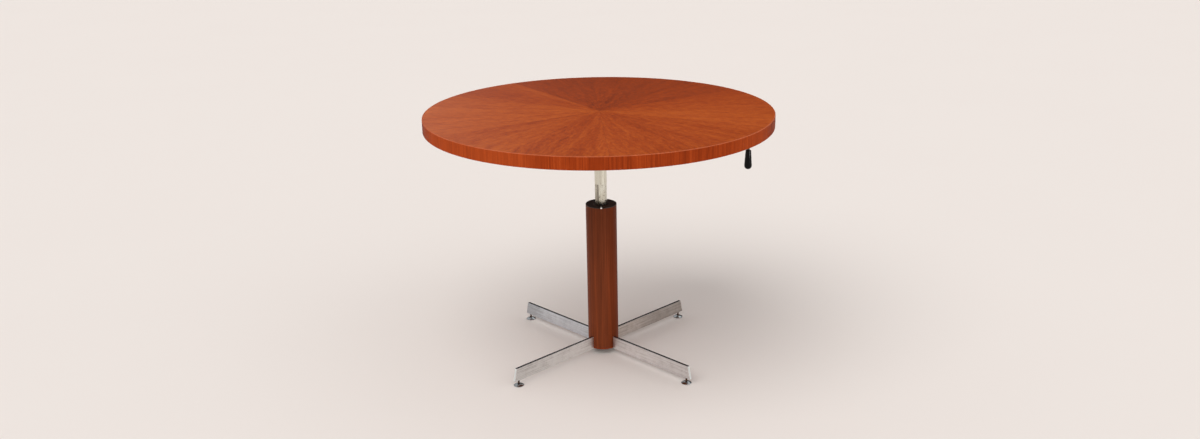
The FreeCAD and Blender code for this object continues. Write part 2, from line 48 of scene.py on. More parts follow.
class Flow:  # one socket, which can stand in a sum
    def __init__(self, graph, socket):
        self.graph = graph
        self.socket = socket

    def maths(self, operation, *values):
        return self.graph.node("ShaderNodeMath", {"operation": operation}, dict(enumerate(values)))

    def __add__(self, other):
        return self.maths("ADD", self, other)

    def __sub__(self, other):
        return self.maths("SUBTRACT", self, other)

    def __rsub__(self, other):
        return self.maths("SUBTRACT", other, self)

    def __mul__(self, other):
        return self.maths("MULTIPLY", self, other)

    def __truediv__(self, other):
        return self.maths("DIVIDE", self, other)

    def __rtruediv__(self, other):
        return self.maths("DIVIDE", other, self)

    __radd__ = __add__
    __rmul__ = __mul__

    def size(self):  # without its sign
        return self.maths("ABSOLUTE", self)

    def swing(self, weight):  # noise about nought
        return (self - 0.5) * weight


class Graph:  # a node tree that grows by sums and calls
    def __init__(self, tree):
        self.tree = tree

    def node(self, kind, settings, inputs, out=0):
        made = self.tree.nodes.new(kind)
        for setting, value in settings.items():
            if setting == "stops":
                fillRamp(made.color_ramp, value)
            else:
                setattr(made, setting, value)
        for name, value in inputs.items():
            self.feed(made.inputs[name], value)
        return Flow(self, made.outputs[out])

    def feed(self, socket, value):
        if isinstance(value, Flow):
            self.tree.links.new(value.socket, socket)
        else:
            socket.default_value = value

    def rise(self, value, start, end):  # 0 before start, 1 after end, smooth between
        inputs = {"Value": value, "From Min": start, "From Max": end}
        return self.node("ShaderNodeMapRange", {"interpolation_type": "SMOOTHSTEP"}, inputs)

    def ramp(self, factor, *stops):
        return self.node("ShaderNodeValToRGB", {"stops": stops}, {0: factor})

    def mixed(self, factor, first, second, blend="MIX"):
        inputs = {0: factor, 6: colour(first), 7: colour(second)}
        return self.node("ShaderNodeMix", {"data_type": "RGBA", "blend_type": blend}, inputs, 2)

    def parts(self, vector):
        split = self.node("ShaderNodeSeparateXYZ", {}, {0: vector}).socket.node
        return [Flow(self, out) for out in split.outputs]


class Finish(Graph):  # one material, built round its Principled shader
    def __init__(self, name, shine=0.5):
        self.material = bpy.data.materials.new(name)
        self.material.use_nodes = True
        super().__init__(self.material.node_tree)
        self.shader = self.tree.nodes["Principled BSDF"]
        self.shader.inputs["Specular IOR Level"].default_value = shine

    def wear(self, **channels):  # feeds the shader's own sockets, such as baseColor
        for channel, value in channels.items():
            self.feed(self.shader.inputs[shaderSockets[channel]], value)
        return self

    def place(self, turn=0.0, output="Object"):  # a point in the table's frame, turned back about the column
        point = self.node("ShaderNodeTexCoord", {}, {}, output)
        if turn:
            settings = {"rotation_type": "Z_AXIS"}
            point = self.node("ShaderNodeVectorRotate", settings, {"Vector": point, "Angle": -turn})
        return point

    def facing(self, turn=0.0):  # how much the surface looks along each axis
        return self.parts(self.place(turn, "Normal"))

    def joined(self, x, y, z):
        return self.node("ShaderNodeCombineXYZ", {}, {0: x, 1: y, 2: z})

    def layer(self, point, look):  # noise
        scale, detail, rough = look  # the scale is one number, or one for each axis
        if isinstance(scale, tuple):
            point = self.node("ShaderNodeVectorMath", {"operation": "MULTIPLY"}, {0: point, 1: scale})
            scale = 1.0
        inputs = {"Vector": point, "Scale": scale, "Detail": detail, "Roughness": rough}
        return self.node("ShaderNodeTexNoise", {}, inputs)

    def layers(self, point, looks):
        return {name: self.layer(point, look) for name, look in looks.items()}

    def graded(self, value, look, spread=0.2, centre=0.5):  # the dark tone, the middle one, the light one
        return self.ramp(value, (centre - spread, look["dark"]), (centre, look["middle"]),
                         (centre + spread, look["light"]))

    def bump(self, height, depth, strength):  # depth in metres
        return self.node("ShaderNodeBump", {}, {"Height": height, "Distance": depth, "Strength": strength})


shaderSockets = {
    "baseColor": "Base Color",
    "roughness": "Roughness",
    "metallic": "Metallic",
    "normal": "Normal",
}


def fillRamp(ramp, stops):
    while len(ramp.elements) < len(stops):
        ramp.elements.new(0.5)
    for element, (position, tone) in zip(ramp.elements, stops):
        element.position = position
        element.color = colour(tone)


def linear(level):  # 0 to 255 on a screen, as the light it stands for
    level = level / 255
    return level / 12.92 if level <= 0.04045 else ((level + 0.055) / 1.055) ** 2.4


def colour(tone):  # a screen colour as three numbers, a single grey number, or a socket that stays as it is
    if isinstance(tone, Flow):
        return tone
    if isinstance(tone, (int, float)):
        tone = (tone, tone, tone)
    return (*[linear(level) for level in tone], 1.0)


def swings(layers, weights):
    return sum(layers[name].swing(weight) for name, weight in weights.items())


def shifted(edges, start):
    return [start + edge for edge in edges]


def dress(finish, *names):
    for name in names:
        for slot in nodes[name].material_slots:
            slot.material = finish.material


# Tabletop

veneer = {  # what the lacquered veneers share
    "poreEdges": (0.62, 0.74),
    "poreDark": 0.35,
    "raised": 0.6,  # how far the fibres stand up, where the pores go down by 1
}

top = {
    "leaves": 12,
    "firstJoint": math.radians(3.8),
    "light": (202, 97, 30),
    "middle": (168, 66, 11),
    "dark": (114, 40, 10),
    "spread": 0.36,  # of the figure, from the middle tone to the dark and to the light one
    # how pale each leaf is, from +X round, partly the wood's own tone and partly painted light at the left
    # and painted shade at the back, and how much paler it grows towards the next
    "tones": (0.6, -1.0, -1.2, -1.2, 0.5, 1.9, 1.8, 1.0, 0.1, 0.2, 0.6, 1.5),
    "leans": (-0.5, -0.2, 0.0, 0.5, -0.6, 0.6, 0.1, 0.3, 0.2, -0.3, 0.4, -0.4),
    "toneStep": 0.09,
    "leanStep": 0.3,
    "paintedBackShade": 0.09,  # painted shade: the wood is darker towards the far side
    "calm": 0.4,  # and its figure is quieter there
    "calmEdges": (0.0, 0.36),
    "drift": 0.0016,  # the figure wanders a little from sheet to sheet
    "sway": ((2.2, 3.0, 1.0), 2.0, 0.5),
    "swayWidth": 0.03,
    "hub": 0.02,  # keeps the rays finite at the centre
    "sheet": {  # scale along the grain and across it, and the place in the noise
        "bands": ((3.0, 34.0, 0.3), 3.0, 0.6),
        "streaks": ((16.0, 170.0, 1.7), 4.0, 0.68),
        "fibres": ((26.0, 1100.0, 2.9), 3.0, 0.6),
        "pores": ((90.0, 2600.0, 5.3), 1.0, 0.5),
    },
    "mottle": ((46.0, 118.0, 3.1), 5.0, 0.7),  # its place moves on from leaf to leaf
    "rays": ((11.0, 2.6, 1.7), 3.0, 0.6),  # scale across the leaf, along it and from leaf to leaf
    "figure": {"bands": 0.12, "rays": 0.44, "streaks": 0.42, "fibres": 0.3, "mottle": 0.9},
    "joint": (84, 32, 14),
    "jointWidth": 0.0003,
    "jointDark": 0.7,
    "shine": 0.25,  # how much the lacquer mirrors
    "rough": 0.34,
    "haze": (9.0, 3.0, 0.5),
    "roughBy": {"fibres": 0.08, "haze": 0.1},  # how much each layer roughens it
    "relief": (0.00004, 0.5),  # depth and strength
}


def sunburstVeneer(number, tone, lean):
    step = 2 * math.pi / top["leaves"]
    wood = Finish(f"sunburstVeneer{number:02d}", top["shine"])
    point = wood.place(top["firstJoint"] + step * (number - 0.5))  # +X runs along the middle of the leaf
    along, across = wood.parts(point)[:2]
    side = 1 if number % 2 else -1  # every second leaf is turned over and mirrors its neighbour
    drift = top["drift"] * number
    sway = wood.layer(wood.joined(along, across, drift), top["sway"])
    grainLine = across * side + sway.swing(top["swayWidth"]) + drift
    slant = across / (along + top["hub"])  # from one joint to the other
    layers = wood.layers(wood.joined(along, grainLine, 1.0), top["sheet"])
    layers["mottle"] = wood.layer(wood.joined(along, grainLine, number), top["mottle"])
    layers["rays"] = wood.layer(wood.joined(slant, along, number), top["rays"])
    layers["haze"] = wood.layer(point, top["haze"])
    depth = wood.parts(wood.place())[1]
    calm = 1 - wood.rise(depth, *top["calmEdges"]) * top["calm"]
    # painted shade: the wood grows darker with depth towards the far side
    pale = slant * (lean * top["leanStep"]) + tone * top["toneStep"] - depth * top["paintedBackShade"]
    tint = wood.graded(0.5 + swings(layers, top["figure"]) * calm + pale, top, top["spread"])
    pores = wood.rise(layers["pores"], *veneer["poreEdges"])
    tint = wood.mixed(pores * veneer["poreDark"], tint, top["dark"])
    edge = along * math.sin(step / 2) - across.size() * math.cos(step / 2)  # distance to the nearer joint
    joint = 1 - wood.rise(edge, 0.0, top["jointWidth"])
    tint = wood.mixed(joint * top["jointDark"], tint, top["joint"])
    relief = wood.bump(layers["fibres"] * veneer["raised"] - pores, *top["relief"])
    rough = top["rough"] + swings(layers, top["roughBy"])
    return wood.wear(baseColor=tint, roughness=rough, normal=relief)


for number, (tone, lean) in enumerate(zip(top["tones"], top["leans"]), 1):
    dress(sunburstVeneer(number, tone, lean), f"face_leaf_{number:02d}")

upright = {  # what the veneers share whose grain stands up
    "layers": {
        "broad": ((17.0, 17.0, 1.2), 2.0, 0.5),
        "fibres": ((900.0, 900.0, 18.0), 3.0, 0.6),
        "pores": ((2300.0, 2300.0, 90.0), 1.0, 0.5),
        "haze": (11.0, 2.0, 0.5),
    },
    "spread": 0.38,
    "roughBy": {"fibres": 0.1, "haze": 0.08},
    "relief": (0.00005, 0.6),
}

band = {
    "light": (190, 82, 36),
    "middle": (157, 60, 23),
    "dark": (112, 40, 17),
    "rough": 0.4,
    "shine": 0.006,
    "streaks": ((300.0, 300.0, 3.5), 4.0, 0.66),
    "figure": {"broad": 0.4, "streaks": 1.15, "fibres": 0.3},
    "pale": (214, 100, 50),  # painted sheen: the strips at the left and right are painted in this paler colour
    "leftStrip": (0.1, 0.22),
    "leftPaintedSheen": 0.22,
    "rightStrip": (0.3, 0.42),
    "rightPaintedSheen": 0.25,
    "ends": (0.425, 0.487),  # painted shade: the band is dark again at its left and right ends
    "lines": ((460.0, 460.0, 14.0), 2.0, 0.5),  # dark lines, which stand in groups
    "lineEdges": (0.54, 0.66),
    "groups": ((26.0, 26.0, 1.0), 2.0, 0.5),
    "groupEdges": (0.4, 0.62),
    "lineAndEndShadeDark": 0.6,
    "arris": (204, 116, 82),
    "arrisEdges": (-0.0018, -0.0006),  # from the upper face
    "arrisLeast": 0.3,
    "arrisHighlightSpread": 0.6,  # the painted highlight along the arris is uneven by this much
    "highlightBreakup": (40.0, 2.0, 0.5),
    "bottomEdges": (0.0, 0.0012),  # from the lower face
    "bottomDark": 0.4,
}


def uprightVeneer(name, look):
    wood = Finish(name, look["shine"])
    point = wood.place()
    layers = wood.layers(point, upright["layers"])
    layers["streaks"] = wood.layer(point, look["streaks"])
    pores = wood.rise(layers["pores"], *veneer["poreEdges"])
    tint = wood.graded(0.5 + swings(layers, look["figure"]), look, upright["spread"])
    tint = wood.mixed(pores * veneer["poreDark"], tint, look["dark"])
    rough = look["rough"] + swings(layers, upright["roughBy"])
    relief = wood.bump(layers["fibres"] * veneer["raised"] - pores, *upright["relief"])
    wood.wear(roughness=rough, normal=relief)
    return wood, point, tint


def edgeVeneer():
    wood, point, tint = uprightVeneer("edgeVeneer", band)
    side, _, height = wood.parts(point)
    low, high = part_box("edge_band")
    # painted sheen at the band's left and right
    leftSheen = wood.rise(side * -1.0, *band["leftStrip"]) * band["leftPaintedSheen"]
    rightSheen = wood.rise(side, *band["rightStrip"]) * band["rightPaintedSheen"]
    tint = wood.mixed(leftSheen + rightSheen, tint, band["pale"])
    lines = wood.rise(wood.layer(point, band["lines"]), *band["lineEdges"])
    groups = wood.rise(wood.layer(point, band["groups"]), *band["groupEdges"])
    # painted shade at the band's left and right ends, darkened together with the real dark lines
    ends = wood.rise(side.size(), *band["ends"])
    tint = wood.mixed((lines * groups + ends) * band["lineAndEndShadeDark"], tint, band["dark"])
    # painted highlight along the upper arris, uneven along its length
    arrisHighlight = wood.rise(height, *shifted(band["arrisEdges"], high.z))
    unevenArrisHighlight = arrisHighlight * (band["arrisLeast"] + wood.layer(point, band["highlightBreakup"]) * band["arrisHighlightSpread"])
    tint = wood.mixed(unevenArrisHighlight, tint, band["arris"])
    shaded = 1 - wood.rise(height, *shifted(band["bottomEdges"], low.z))
    return wood.wear(baseColor=wood.mixed(shaded * band["bottomDark"], tint, band["dark"]))


backing = {
    "light": (140, 84, 50),
    "middle": (118, 66, 38),
    "dark": (92, 50, 30),
    "spread": 0.25,
    "lines": ((1.5, 60.0, 1.0), 5.0, 0.62),
    "fibres": ((22.0, 950.0, 1.0), 3.0, 0.6),
    "fibreWeight": 0.3,
    "shine": 0.1,
    "rough": 0.5,
    "rougher": 0.1,
    "relief": (0.00006, 0.6),
}


def backingVeneer():
    wood = Finish("backingVeneer", backing["shine"])
    point = wood.place()
    fibres = wood.layer(point, backing["fibres"])
    figure = wood.layer(point, backing["lines"]) + fibres.swing(backing["fibreWeight"])
    rough = backing["rough"] + fibres * backing["rougher"]
    tint = wood.graded(figure, backing, backing["spread"])
    return wood.wear(baseColor=tint, roughness=rough, normal=wood.bump(fibres, *backing["relief"]))


chipboard = {
    "light": (192, 160, 118),
    "middle": (168, 132, 92),
    "dark": (128, 96, 62),
    "chips": ((260.0, 260.0, 420.0), 3.0, 0.7),
    "shine": 0.2,
    "rough": 0.75,
    "rougher": 0.15,
    "relief": (0.0003, 0.7),
}


def rawBoard():
    board = Finish("rawBoard", chipboard["shine"])
    chips = board.layer(board.place(), chipboard["chips"])
    rough = chipboard["rough"] + chips * chipboard["rougher"]
    relief = board.bump(chips, *chipboard["relief"])
    return board.wear(baseColor=board.graded(chips, chipboard), roughness=rough, normal=relief)


dress(edgeVeneer(), "edge_band")
dress(backingVeneer(), "backing_veneer")
dress(rawBoard(), "top_core", "column_core")
print("tabletop finished")

# Column

column = {
    "light": (156, 76, 42),
    "middle": (122, 59, 33),
    "dark": (80, 42, 26),
    "rough": 0.42,
    "shine": 0.05,
    "streaks": ((260.0, 260.0, 3.5), 4.0, 0.66),
    "figure": {"broad": 0.3, "streaks": 1.2, "fibres": 0.3},
    "upper": 0.12,  # painted shadow of the tabletop: above this height over its foot it grows darker
    "upperDark": 0.2,
    "rightShade": (242, 222, 188),  # painted shade: what the right side's wood is multiplied by
    "rightShadeEdges": (0.006, 0.034),
    "foot": (150, 58, 34),
    "footEdges": (0.002, 0.005),
    "footTint": 0.5,
}


def columnVeneer():
    wood, point, tint = uprightVeneer("columnVeneer", column)
    side, _, height = wood.parts(point)
    low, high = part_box("column_veneer")
    # painted shadow of the tabletop on the column's upper part
    upper = wood.rise(height, low.z + column["upper"], high.z)
    tint = wood.mixed(upper * column["upperDark"], tint, column["dark"])
    # painted shade on the column's right side
    tint = wood.mixed(wood.rise(side, *column["rightShadeEdges"]), tint, column["rightShade"], "MULTIPLY")
    foot = 1 - wood.rise(height, *shifted(column["footEdges"], low.z))
    return wood.wear(baseColor=wood.mixed(foot * column["footTint"], tint, column["foot"]))


dress(columnVeneer(), "column_veneer")
print("column finished")

# Metals

bars = {
    "legs": {  # each leg's tones are lit and shaded copies of one steel, painted light and shade; and painted shade, how each grows darker outwards: from where, to where, and the grey that it's multiplied by
        1: {"light": (238, 233, 231), "middle": (210, 203, 197), "dark": (157, 145, 138),
            "paintedOuterShade": (0.13, 0.22, 227)},
        2: {"light": (243, 249, 255), "middle": (225, 231, 238), "dark": (177, 179, 184),
            "paintedOuterShade": (0.23, 0.34, 219)},
        3: {"light": (255, 255, 254), "middle": (240, 240, 239), "dark": (187, 183, 179),
            "paintedOuterShade": (0.06, 0.34, 230)},
        4: {"light": (254, 253, 253), "middle": (242, 240, 240), "dark": (193, 186, 184),
            "paintedOuterShade": (0.1, 0.34, 237)},
    },
    "firstTurn": math.radians(45),
    "spread": 0.3,
    "layers": {
        "blotch": (55.0, 5.0, 0.66),
        "cloud": (16.0, 2.0, 0.5),
        "brush": ((8.0, 500.0, 500.0), 3.0, 0.6),
        "specks": (420.0, 2.0, 0.6),
    },
    "figure": {"blotch": 0.5, "cloud": 0.3, "brush": 1.1},
    "speckEdges": (0.64, 0.72),
    "speckDark": 0.5,
    "rim": (84, 77, 86),  # painted reflection of the dim room: the upper faces, which are smoother, are painted dark
    "rimEdges": (0.6, 0.95),
    "rimDark": 0.9,
    "rimSmoother": 0.18,
    # painted reflection: the end faces are painted pale and bluish
    "end": (246, 254, 255),
    "endReflectionEdges": (0.6, 0.9),
    "rough": 0.34,
    "roughBy": {"blotch": 0.15, "brush": 0.14},
    "metal": 0.94,
    "speckRust": 0.4,
    "relief": (0.00006, 0.5),
}


def satinBar(number):
    look = bars["legs"][number]
    steel = Finish(f"satinBar{number}")
    turn = bars["firstTurn"] + 2 * math.pi / len(bars["legs"]) * (number - 1)
    point = steel.place(turn)
    layers = steel.layers(point, bars["layers"])
    specks = steel.rise(layers["specks"], *bars["speckEdges"])
    # each leg's own tones: painted light and shade, as lit and shaded copies of one steel
    tint = steel.graded(0.5 + swings(layers, bars["figure"]), look, bars["spread"])
    tint = steel.mixed(specks * bars["speckDark"], tint, look["dark"])
    # painted shade: darker towards the leg's outer end
    start, end, grey = look["paintedOuterShade"]
    tint = steel.mixed(steel.rise(steel.parts(point)[0], start, end), tint, grey, "MULTIPLY")
    outward, _, upward = steel.facing(turn)
    # painted reflection: the upper faces are painted dark
    rim = steel.rise(upward, *bars["rimEdges"])
    tint = steel.mixed(rim * bars["rimDark"], tint, bars["rim"])
    # painted reflection on the end faces
    tint = steel.mixed(steel.rise(outward, *bars["endReflectionEdges"]), tint, bars["end"])
    rough = bars["rough"] - rim * bars["rimSmoother"] + swings(layers, bars["roughBy"])
    relief = steel.bump((layers["brush"] + layers["blotch"]) * 0.5, *bars["relief"])
    metal = bars["metal"] - specks * bars["speckRust"]
    return steel.wear(baseColor=tint, roughness=rough, metallic=metal, normal=relief)


shaft = {
    "light": (238, 238, 226),
    "middle": (219, 216, 201),
    "dark": (184, 179, 159),
    "stain": (88, 70, 48),
    "calm": 0.5,  # how much of its figure the round part above the flats keeps
    "flatsTop": 0.5237,
    "flatsEdges": (-0.0004, 0.0004),  # from the top of the flats
    "lowerEdges": (-0.07, 0.01),
    "stainedFlat": math.radians(221),  # the flat that looks this way is the brownest
    "nextFlat": math.radians(120),  # from the stained one to the other that is stained
    "flatEdges": (0.94, 0.99),
    "cornerEdges": (-0.002, 0.005),
    "layers": {
        "rings": ((12.0, 12.0, 1500.0), 2.0, 0.6),
        "scuffs": ((160.0, 160.0, 22.0), 4.0, 0.65),
        "spots": (150.0, 4.0, 0.7),
        "streaks": ((230.0, 230.0, 14.0), 3.0, 0.6),
    },
    "spotEdges": (0.56, 0.68),
    "streakEdges": (0.42, 0.6),
    "spotDirt": 0.55,
    "lowerDirt": 0.08,
    "nextDirt": 0.12,
    "flatDirt": 0.2,
    "flatLowerDirt": 0.2,
    "cornerDirt": 0.3,
    "streakDirt": 0.4,
    "rough": 0.3,
    "roughBy": {"rings": 0.2, "scuffs": 0.2},
    "flatSmoother": 0.06,
    "metal": 0.95,
    "dirtDull": 0.6,
    "relief": (0.00003, 0.5),
}


def shaftSteel():
    steel = Finish("shaftSteel")
    point = steel.place()
    height = steel.parts(point)[2]
    layers = steel.layers(point, shaft["layers"])
    spots = steel.rise(layers["spots"], *shaft["spotEdges"])
    streaks = steel.rise(layers["streaks"], *shaft["streakEdges"])
    flats = 1 - steel.rise(height, *shifted(shaft["flatsEdges"], shaft["flatsTop"]))
    lower = 1 - steel.rise(height, *shifted(shaft["lowerEdges"], shaft["flatsTop"]))
    corner = steel.rise(steel.parts(steel.place(shaft["stainedFlat"]))[1], *shaft["cornerEdges"])
    stained = steel.rise(steel.facing(shaft["stainedFlat"])[0], *shaft["flatEdges"])
    following = steel.rise(steel.facing(shaft["stainedFlat"] + shaft["nextFlat"])[0], *shaft["flatEdges"])
    browned = stained * (shaft["flatDirt"] + lower * shaft["flatLowerDirt"] + corner * shaft["cornerDirt"])
    dirt = flats * (spots * shaft["spotDirt"] + lower * shaft["lowerDirt"] + following * shaft["nextDirt"]
                    + browned + browned * streaks * shaft["streakDirt"])
    figure = 0.5 + (layers["scuffs"] - 0.5) * (shaft["calm"] + flats * (1 - shaft["calm"]))
    tint = steel.mixed(dirt, steel.graded(figure, shaft), shaft["stain"])
    rough = shaft["rough"] - flats * shaft["flatSmoother"] + swings(layers, shaft["roughBy"])
    metal = shaft["metal"] - dirt * shaft["dirtDull"]
    relief = steel.bump(layers["rings"], *shaft["relief"])
    return steel.wear(baseColor=tint, roughness=rough, metallic=metal, normal=relief)


zinc = {
    "light": (200, 202, 196),
    "middle": (178, 178, 170),
    "dark": (150, 150, 142),
    "spangle": (260.0, 3.0, 0.6),
    "rough": 0.3,
    "rougher": 0.25,
    "relief": (0.00004, 0.4),
}

rod = {
    "paint": (16, 16, 17),
    "paintEdges": (-0.009, -0.007),  # from its top, where it bends down to its grip
    "drawn": (600.0, 2.0, 0.5),
    "rough": 0.32,
    "rougher": 0.2,
}


def zincSteel():
    steel = Finish("zincSteel")
    spangle = steel.layer(steel.place(), zinc["spangle"])
    rough = zinc["rough"] + spangle * zinc["rougher"]
    relief = steel.bump(spangle, *zinc["relief"])
    return steel.wear(baseColor=steel.graded(spangle, zinc), roughness=rough, metallic=1.0, normal=relief)


def rodSteel():
    steel = Finish("rodSteel")
    point = steel.place()
    spangle = steel.layer(point, zinc["spangle"])
    _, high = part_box("release_rod")
    painted = 1 - steel.rise(steel.parts(point)[2], *shifted(rod["paintEdges"], high.z))
    tint = steel.mixed(painted, steel.graded(spangle, zinc), rod["paint"])
    rough = rod["rough"] + spangle * rod["rougher"]
    relief = steel.bump(steel.layer(point, rod["drawn"]), *zinc["relief"])
    return steel.wear(baseColor=tint, roughness=rough, metallic=1 - painted, normal=relief)


chrome = {
    "light": (224, 227, 231),
    "middle": (190, 194, 197),
    "dark": (152, 158, 160),
    "spread": 0.25,
    "centre": 0.55,
    "haze": (150.0, 4.0, 0.65),
    "pit": (110, 96, 86),
    "pits": (900.0, 2.0, 0.6),
    "pitEdges": (0.66, 0.74),
    "pitDark": 0.5,
    "rough": 0.05,
    "rougher": 0.1,
    "relief": (0.00003, 0.4),
}


def brightChrome():
    steel = Finish("brightChrome")
    point = steel.place()
    haze = steel.layer(point, chrome["haze"])
    pits = steel.rise(steel.layer(point, chrome["pits"]), *chrome["pitEdges"])
    tint = steel.graded(haze, chrome, chrome["spread"], chrome["centre"])
    tint = steel.mixed(pits * chrome["pitDark"], tint, chrome["pit"])
    rough = chrome["rough"] + haze * chrome["rougher"]
    relief = steel.bump(haze, *chrome["relief"])
    return steel.wear(baseColor=tint, roughness=rough, metallic=1.0, normal=relief)


nickel = {
    "tones": ((0.3, (244, 243, 240)), (0.7, (255, 255, 254))),
    "haze": (700.0, 3.0, 0.6),
    "rough": 0.1,
    "rougher": 0.1,
    "metal": 0.9,
    "metalBy": 0.1,
    "relief": (0.00002, 0.4),
}


def brightNickel():
    steel = Finish("brightNickel")
    haze = steel.layer(steel.place(), nickel["haze"])
    tint = steel.ramp(haze, *nickel["tones"])
    rough = nickel["rough"] + haze * nickel["rougher"]
    metal = nickel["metal"] + haze * nickel["metalBy"]
    relief = steel.bump(haze, *nickel["relief"])
    return steel.wear(baseColor=tint, roughness=rough, metallic=metal, normal=relief)


rust = {
    "light": (140, 104, 78),
    "middle": (92, 56, 34),
    "dark": (48, 32, 22),
    "scale": (520.0, 4.0, 0.7),
    "shine": 0.4,
    "rough": 0.5,
    "rougher": 0.35,
    "metal": 0.75,
    "eaten": 0.5,  # less of the metal shows where the scale is thick
    "relief": (0.0001, 0.6),
}


def rustySteel():
    steel = Finish("rustySteel", rust["shine"])
    scale = steel.layer(steel.place(), rust["scale"])
    rough = rust["rough"] + scale * rust["rougher"]
    metal = rust["metal"] - scale * rust["eaten"]
    relief = steel.bump(scale, *rust["relief"])
    return steel.wear(baseColor=steel.graded(scale, rust), roughness=rough, metallic=metal, normal=relief)


enamel = {
    "tones": ((0.3, (24, 24, 25)), (0.7, (44, 42, 40))),
    "peel": (420.0, 2.0, 0.5),
    "dust": (30.0, 4.0, 0.65),
    "rough": 0.32,
    "rougher": 0.3,
    "relief": (0.00006, 0.5),
}


def blackEnamel():
    paint = Finish("blackEnamel")
    point = paint.place()
    dust = paint.layer(point, enamel["dust"])
    rough = enamel["rough"] + dust * enamel["rougher"]
    relief = paint.bump(paint.layer(point, enamel["peel"]), *enamel["relief"])
    return paint.wear(baseColor=paint.ramp(dust, *enamel["tones"]), roughness=rough, normal=relief)


satinBars = [satinBar(number) for number in range(1, 5)]
for number, steel in enumerate(satinBars, 1):
    dress(steel, f"leg_{number}")
dress(satinBars[0], "base_hub")
dress(shaftSteel(), "lift_tube")
dress(zincSteel(), "plate_wood_screws", "head_collar", "neck_nut", "gas_valve_body", "valve_pin",
      "release_stop_pin", "release_clip", "bearing_screws", "lower_guide_screws", "rod_washer", "rod_nut")
dress(brightChrome(), "gas_rod", *[f"glide_dome_{number}" for number in range(1, 5)])
dress(rodSteel(), "release_rod")
dress(blackEnamel(), "mounting_plate", "gas_cylinder", "frame_tube")
print("metals finished")


def hang(name, mesh, finish, body):
    mesh.materials.append(finish.material)
    piece = bpy.data.objects.new(name, mesh)
    bpy.context.scene.collection.objects.link(piece)
    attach(piece, body)
    return piece


# Screw threads on the glides' stems

thread = {
    "pitch": 0.0008,
    "depth": 0.00045,
    "radius": 0.0025,
    "foot": 0.0014,  # height of the cone above the stem's foot
    "tip": 0.0006,  # chamfer at the upper end
    "around": 24,
    "steps": 6,  # levels in one pitch
}


def threadRadius(height, turn):  # turn from 0 to 1 round the stem
    groove = (height / thread["pitch"] - turn) % 1
    return thread["radius"] - thread["depth"] * (1 - abs(2 * groove - 1))


def threadedStem(number, steel):
    node = f"glide_stem_{number}"
    low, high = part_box(node)
    middle = (low + high) / 2
    foot = (high.x - low.x) / 2
    shoulder = low.z + thread["foot"]
    around = thread["around"]
    levels = int((high.z - thread["tip"] - shoulder) / thread["pitch"] * thread["steps"])
    rings = [(low.z, foot), (shoulder, foot - thread["foot"])]
    rings += [(shoulder + thread["pitch"] / thread["steps"] * level, None) for level in range(levels + 1)]
    rings.append((high.z, thread["radius"] - thread["tip"]))
    points = []
    for height, radius in rings:
        for step in range(around):
            angle = 2 * math.pi * step / around
            wide = radius or threadRadius(height, step / around)
            points.append((middle.x + wide * math.cos(angle), middle.y + wide * math.sin(angle), height))
    faces = [tuple(range(around))[::-1], tuple(range(len(points) - around, len(points)))]
    for ring in range(len(rings) - 1):
        for step in range(around):
            here = ring * around + step
            after = ring * around + (step + 1) % around
            faces.append((here, after, after + around, here + around))
    mesh = bpy.data.meshes.new(f"threadedStem{number}")
    mesh.from_pydata(points, [], faces)
    stem = hang(f"threadedStem{number}", mesh, steel, f"stem_{number}")
    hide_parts(node)


stemSteel = rustySteel()
for number in range(1, 5):
    threadedStem(number, stemSteel)
print("threads cut")

# Drag screw, with a flat head and a cross recess

dragScrew = {
    "angle": math.radians(-88.5),
    "axis": 0.462,  # height above the floor
    "shank": 0.0015,  # radius, as the next two are
    "head": 0.00275,
    "face": 0.0023,
    "height": 0.0022,  # of the head
    "seat": 0.0438,  # from the column's axis
    "tip": 0.0182,
    "chamfer": 0.0005,
    "slotWide": 0.00025,
    "slotLong": 0.001,
    "slotDeep": 0.001,
    "slotTaper": 0.7,
    "around": 32,
}


def crossHeadScrew(name, finish, body, look):
    wide = look["slotWide"]
    long = look["slotLong"]
    turns = [2 * math.pi * step / look["around"] for step in range(look["around"])]
    circle = [(math.cos(turn), math.sin(turn)) for turn in turns]
    cross = [(long, -wide), (long, wide), (wide, wide), (wide, long), (-wide, long), (-wide, wide),
             (-long, wide), (-long, -wide), (-wide, -wide), (-wide, -long), (wide, -long), (wide, -wide)]
    crown = look["seat"] + look["height"]
    profile = [  # radius, and place along the screw
        (look["shank"] - look["chamfer"], look["tip"]),
        (look["shank"], look["tip"] + look["chamfer"]),
        (look["shank"], look["seat"]),
        (look["head"], look["seat"]),
        (look["head"], crown - look["head"] + look["face"]),
        (look["face"], crown),
    ]
    mesh = bmesh.new()

    def loop(outline, scale, height):
        return [mesh.verts.new((height, x * scale, z * scale)) for x, z in outline]

    def wall(first, second):
        for step in range(len(first)):
            after = (step + 1) % len(first)
            mesh.faces.new((first[step], first[after], second[after], second[step]))

    rings = [loop(circle, radius, height) for radius, height in profile]
    mesh.faces.new(rings[0][::-1])
    for first, second in zip(rings, rings[1:]):
        wall(first, second)
    rim = loop(cross, 1.0, crown)
    bottom = loop(cross, look["slotTaper"], crown - look["slotDeep"])
    wall(rim, bottom)
    mesh.faces.new(bottom)
    edges = [mesh.edges.get((line[step - 1], line[step]))
             for line in (rings[-1], rim) for step in range(len(line))]
    bmesh.ops.triangle_fill(mesh, use_beauty=True, edges=edges)
    bmesh.ops.recalc_face_normals(mesh, faces=mesh.faces)
    mesh.transform(Matrix.Translation((0, 0, look["axis"])) @ Matrix.Rotation(look["angle"], 4, "Z"))
    made = bpy.data.meshes.new(name)
    mesh.to_mesh(made)
    mesh.free()
    return hang(name, made, finish, body)


screw = crossHeadScrew("crossHeadDragScrew", brightNickel(), "base", dragScrew)
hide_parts("drag_screw")
print("drag screw made")

# Plastics and rubber

